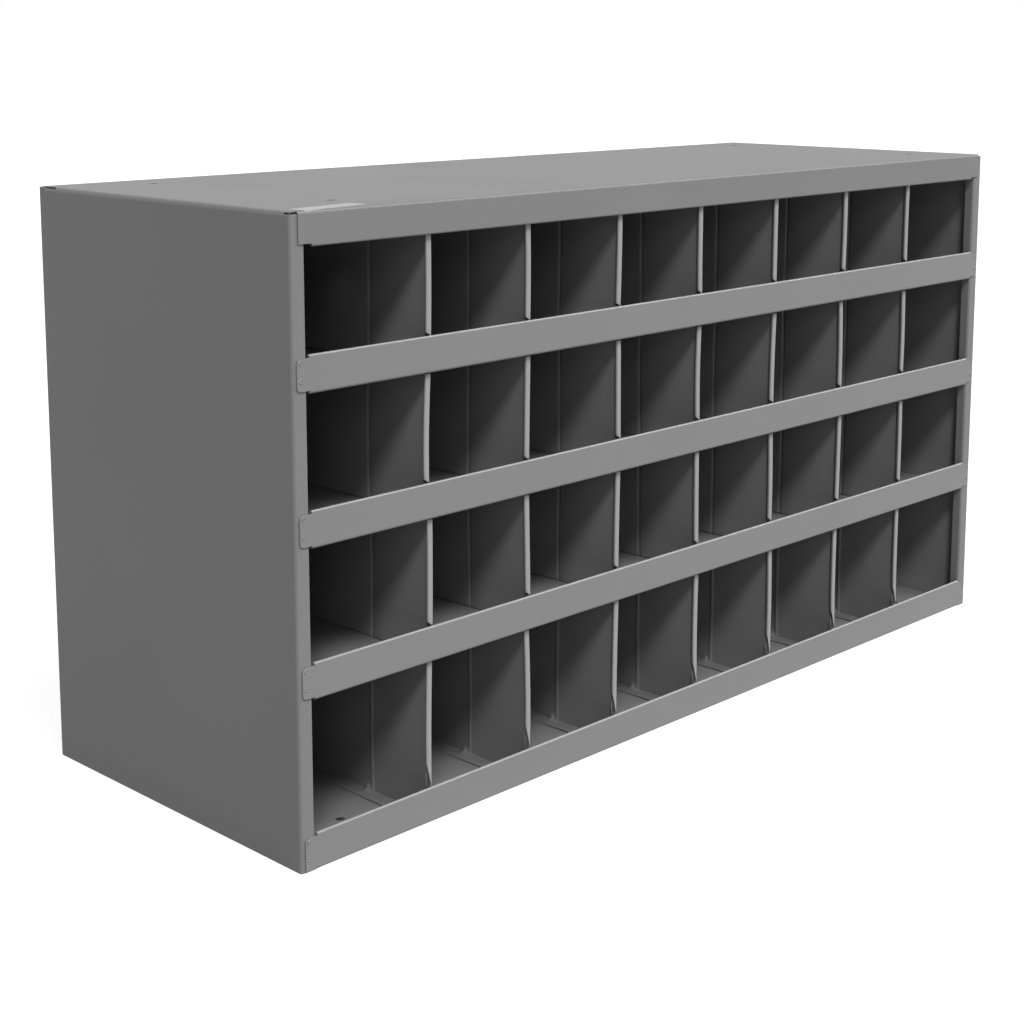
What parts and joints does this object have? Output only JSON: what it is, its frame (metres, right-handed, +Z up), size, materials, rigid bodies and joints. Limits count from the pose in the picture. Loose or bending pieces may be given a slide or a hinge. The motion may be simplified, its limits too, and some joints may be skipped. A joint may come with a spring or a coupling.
{
  "type": "pigeonhole mail sorter",
  "caption": "Open-fronted welded steel pigeonhole unit with lipped shelves and rolled-edge dividers, for sorting mail or small parts.",
  "frame": {"origin": "middle of the footprint, on the underside of the bottom pan", "axes": "+X to the right along the width, +Y from the open front to the back, +Z up"},
  "size_m": [0.8572, 0.3048, 0.454],
  "materials": {
    "casing_enamel": "satin",
    "tray_enamel": "satin",
    "divider_enamel": "satin",
    "back_enamel": "satin"
  },
  "bodies": {
    "root": {"casing_wrap": "casing_enamel", "back_panel": "back_enamel", "bottom_pan": "tray_enamel", "shelf_row1": "tray_enamel", "shelf_row2": "tray_enamel", "shelf_row3": "tray_enamel", "divider_row1_1": "divider_enamel", "divider_row1_2": "divider_enamel", "divider_row1_3": "divider_enamel", "divider_row1_4": "divider_enamel", "divider_row1_5": "divider_enamel", "divider_row1_6": "divider_enamel", "divider_row1_7": "divider_enamel", "divider_row2_1": "divider_enamel", "divider_row2_2": "divider_enamel", "divider_row2_3": "divider_enamel", "divider_row2_4": "divider_enamel", "divider_row2_5": "divider_enamel", "divider_row2_6": "divider_enamel", "divider_row2_7": "divider_enamel", "divider_row3_1": "divider_enamel", "divider_row3_2": "divider_enamel", "divider_row3_3": "divider_enamel", "divider_row3_4": "divider_enamel", "divider_row3_5": "divider_enamel", "divider_row3_6": "divider_enamel", "divider_row3_7": "divider_enamel", "divider_row4_1": "divider_enamel", "divider_row4_2": "divider_enamel", "divider_row4_3": "divider_enamel", "divider_row4_4": "divider_enamel", "divider_row4_5": "divider_enamel", "divider_row4_6": "divider_enamel", "divider_row4_7": "divider_enamel"}
  },
  "joints": []
}
